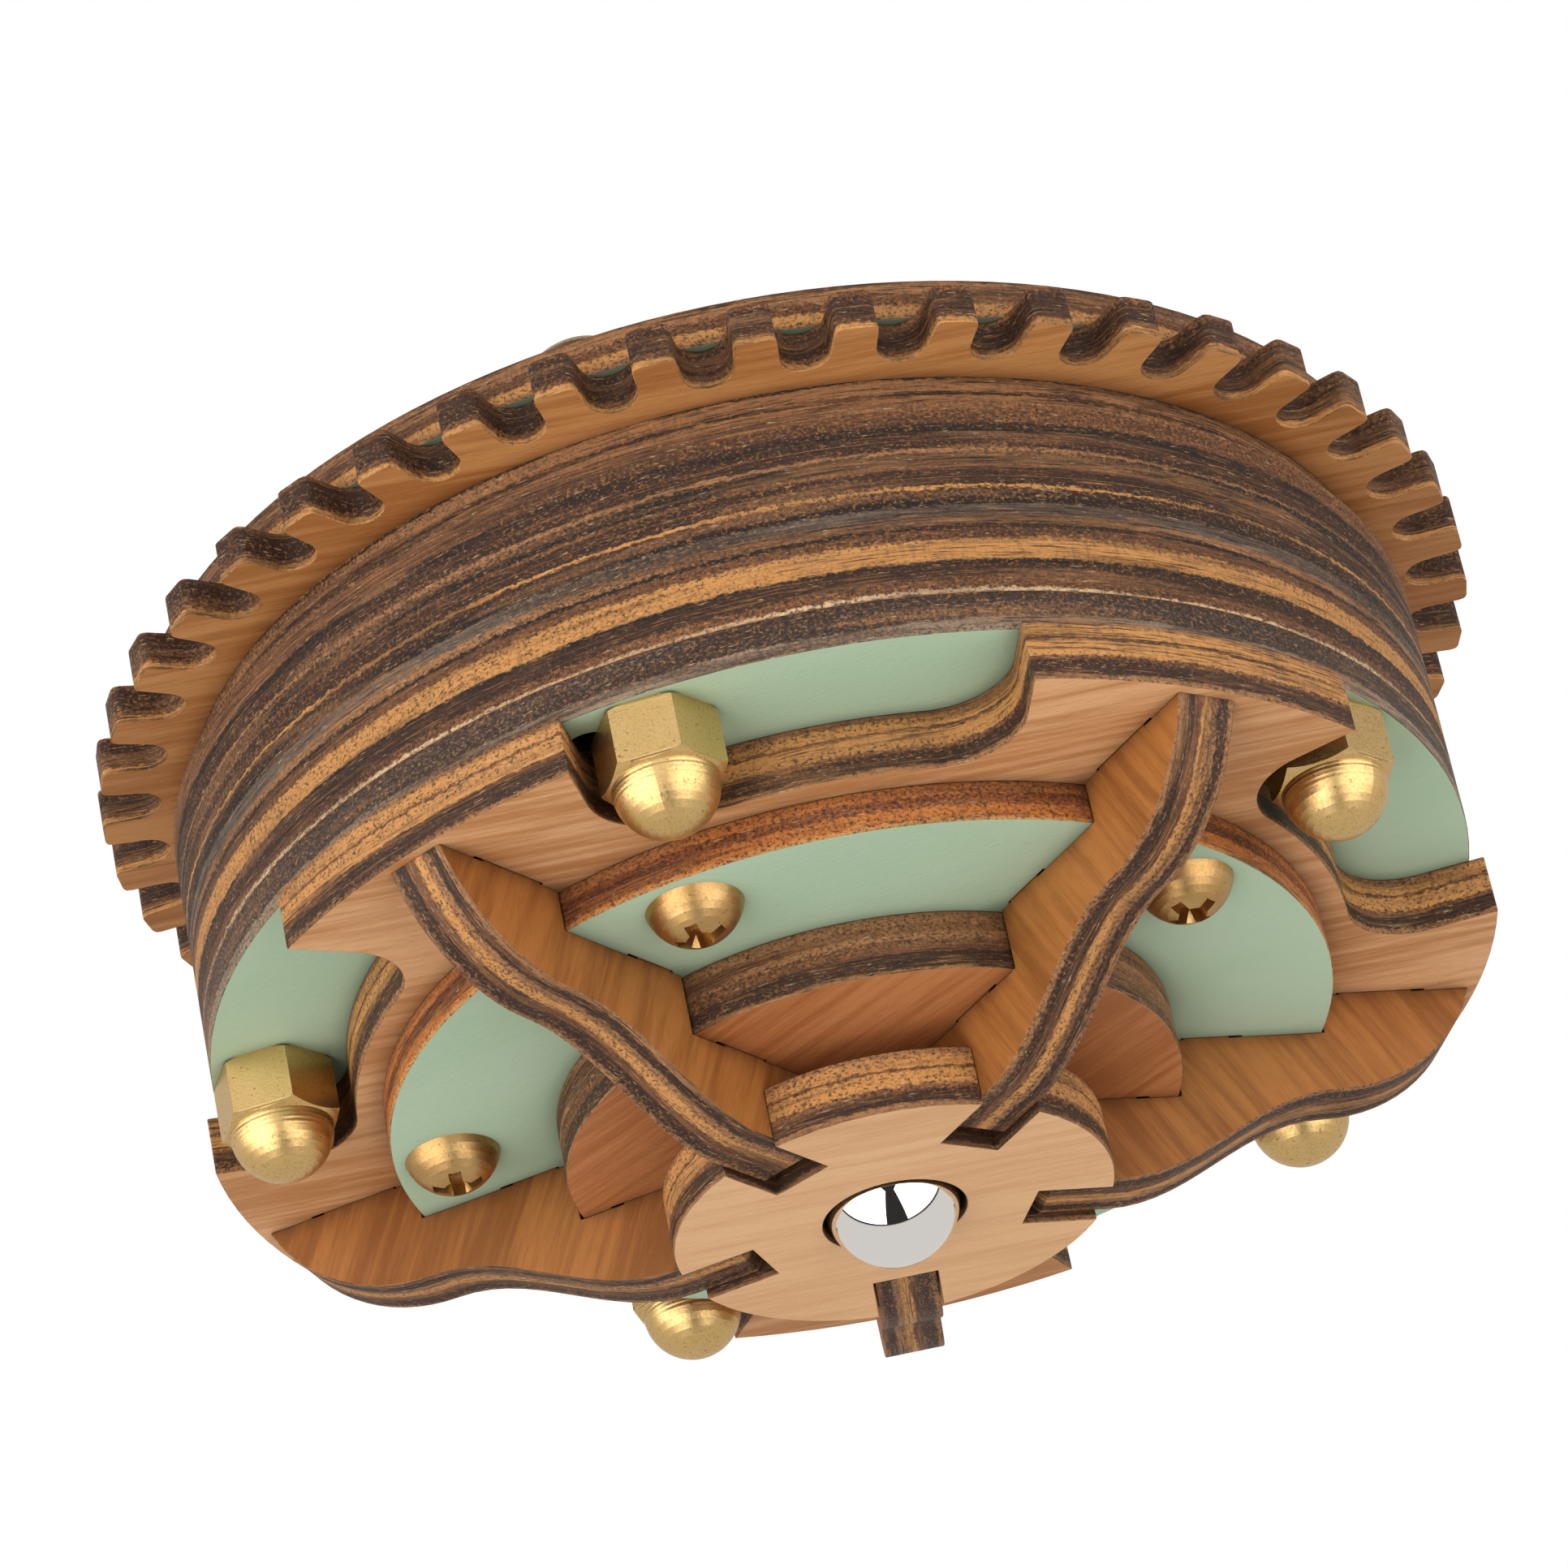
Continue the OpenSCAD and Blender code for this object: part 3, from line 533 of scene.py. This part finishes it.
def rib_material(index):
    """Plywood on edge: the sheet's own level runs across the rib."""
    s = Shader(f"rib_{index}")
    back = -STEP * (index - 1)
    low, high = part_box("rib_1")
    thickness = (high.y - low.y) / MM
    out, across, up = s.split(s.turn(s.place, back))
    level = s.math("ADD", across, thickness / 2)
    sheet = s.join(out, up, across)
    face, fibre = face_wood(s, s.turn(sheet, -RIB_GRAIN), index * 1.7, *RIB_FACE)
    edge, scorch = ply_edge(s, sheet, level, thickness, RIB_PLIES, index)
    on_face = is_face(s, s.split(s.turn(s.normal, back))[1])
    return sheet_finish(s, on_face, face, fibre, edge, scorch)


# ---------- metal ----------

FASTENER_BRASS = srgb(222, 186, 124)
SCREW_BRASS = srgb(190, 150, 96)
MOVEMENT_BRASS = srgb(222, 186, 116)
STEEL = (0.62, 0.62, 0.64, 1)
FAN_SHEET = (0.78, 0.78, 0.79, 1)
CUP_METAL = (0.10, 0.08, 0.07, 1)
MAGNET_PLATING = (0.7, 0.7, 0.7, 1)
BALL_STEEL = (0.93, 0.92, 0.91, 1)

# Heights between which an acorn nut's neck shows turning lines, and how far they fade in
NECK_FROM = 14.6
NECK_TO = 16.4
NECK_FADE = 0.4
# Radians of the turning lines' wave in a millimetre
TURNING_LINES = 22.0


def brass_material(name, roughness, colour, speckle, rings=0.0):
    """rings is how deep the turning lines are, as a share of the bumps."""
    s = Shader(name)
    grain = s.noise(s.place, 7.0, 3, 0.7)
    cloud = s.noise(s.place, 0.5, 3)
    tone = s.mix(s.span(grain, 0.45, 0.75, 0, speckle), colour, srgb(166, 134, 80))
    tone = s.mix(s.span(cloud, 0.4, 0.7, 0, 0.25), tone, srgb(230, 200, 142))
    pits = s.noise(s.place, 4.0, 2, 0.6)
    tone = s.mix(s.span(pits, 0.62, 0.72, 0, 0.6), tone, srgb(116, 88, 50))
    z = s.split(s.place)[2]
    turned = s.math("SINE", s.math("MULTIPLY", z, TURNING_LINES))
    rises = s.span(z, NECK_FROM, NECK_FROM + NECK_FADE)
    at_neck = s.math("MULTIPLY", rises, s.span(z, NECK_TO, NECK_TO - NECK_FADE))
    lines = s.math("MULTIPLY", s.math("MULTIPLY", turned, at_neck), rings)
    height = s.math("ADD", s.math("MULTIPLY", grain, 0.5), lines)
    rough = s.span(grain, 0.3, 0.7, roughness - 0.05, roughness + 0.1)
    return s.finish(tone, rough, height, 0.02, metallic=1.0)


def steel_material(name, roughness, colour):
    s = Shader(name)
    scratch = s.noise(s.place, (0.6, 9.0, 9.0), 3, 0.7)
    rough = s.span(scratch, 0.3, 0.7, roughness - 0.06, roughness + 0.08)
    return s.finish(colour, rough, scratch, 0.01, metallic=1.0)


def ball_material():
    s = Shader("polished_ball")
    haze = s.noise(s.place, 1.5, 3)
    return s.finish(BALL_STEEL, s.span(haze, 0.3, 0.7, 0.015, 0.04), metallic=1.0)


# ---------- applying them ----------

# Widths of the rounding on cut edges
PLATE_EDGE = 0.10
RING_EDGE = 0.06

# node, plies, direction of its grain, seed, tones of its faces, painted below
PLATES = [
    ("base_plate", BASE_PLIES, -25, 1, STAR_FACE, True),
    ("toothed_ring", RIM_PLIES, -17, 2, RIM_FACE, False),
    ("top_disc", LID_PLIES, 10, 3, STAR_FACE, True),
    ("star_plate", THICK_PLIES, -17, 4, STAR_FACE, False),
    ("screw_disc", THIN_PLIES, -25, 5, STAR_FACE, True),
    ("inner_disc", INNER_PLIES, -60, 6, INNER_FACE, False),
    ("hub_plate", THICK_PLIES, -17, 7, HUB_FACE, False),
]
WALL_RINGS = [f"drum_ring_{i}" for i in range(1, 6)] + ["neck_ring"]
FASTENERS = ["through_bolts", "acorn_nuts", "disc_nuts", "bedplate_screws"]
BRASS_PARTS = [
    "bedplate", "pillars", "bridge", "comb_block", "barrel", "barrel_cover", "great_wheel",
    "pinned_cylinder", "first_wheel", "second_wheel", "winding_key",
]
STEEL_PARTS = [
    "bridge_screws", "comb", "comb_screws", "winding_arbor", "clutch_spring", "mainspring",
    "first_pinion", "second_pinion", "fan_pinion",
]


def soften_edges(node, width, angle=32, segments=2):
    """Rounds a CAD node's edges with modifiers, and shades its curves smoothly."""
    thing = nodes[node]
    mesh = thing.data
    if "custom_normal" in mesh.attributes:
        mesh.attributes.remove(mesh.attributes["custom_normal"])
    mesh.shade_smooth()
    weld = thing.modifiers.new("weld", "WELD")
    weld.merge_threshold = 0.002 * MM
    bevel = thing.modifiers.new("bevel", "BEVEL")
    bevel.width = width * MM
    bevel.segments = segments
    bevel.limit_method = "ANGLE"
    bevel.angle_limit = math.radians(angle)
    bevel.harden_normals = True
    bevel.use_clamp_overlap = True


def dress(node, material, width=None):
    """Gives a node its material, and rounds its edges if it has a width for them."""
    thing = nodes[node]
    thing.data.materials.clear()
    thing.data.materials.append(material)
    if width:
        soften_edges(node, width)


def dress_all():
    wall = wall_material()
    for ring in WALL_RINGS:
        dress(ring, wall, RING_EDGE)
    for node, *looks in PLATES:
        dress(node, plate_material(node, *looks), PLATE_EDGE)
    for i in range(1, FOLD + 1):
        dress(f"rib_{i}", rib_material(i), PLATE_EDGE)
    fastener = brass_material("fastener_brass", 0.33, FASTENER_BRASS, 0.6, rings=0.35)
    for node in FASTENERS:
        dress(node, fastener)
    dress("disc_screws", brass_material("screw_brass", 0.36, SCREW_BRASS, 0.8))
    movement = brass_material("movement_brass", 0.3, MOVEMENT_BRASS, 0.2)
    for node in BRASS_PARTS:
        dress(node, movement)
    steel = steel_material("movement_steel", 0.3, STEEL)
    for node in STEEL_PARTS:
        dress(node, steel)
    dress("fan_blade", steel_material("fan_sheet", 0.35, FAN_SHEET))
    dress("ball_cup", steel_material("cup_metal", 0.5, CUP_METAL))
    dress("cup_magnet", steel_material("magnet_plating", 0.2, MAGNET_PLATING))


def add_ball():
    """The CAD ball again, with a finer mesh for its reflections."""
    low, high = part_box("pivot_ball")
    bpy.ops.mesh.primitive_uv_sphere_add(
        segments=128, ring_count=64, radius=(high.z - low.z) / 2, location=(low + high) / 2)
    ball = bpy.context.object
    ball.name = "steel_ball"
    ball.data.shade_smooth()
    ball.data.materials.append(ball_material())
    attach(ball, "ball")
    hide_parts("pivot_ball")


add_camera()
set_world()
add_floor()
for softbox in SOFTBOXES:
    add_softbox(*softbox)
dress_all()
add_ball()
bpy.context.scene.view_settings.view_transform = "Standard"
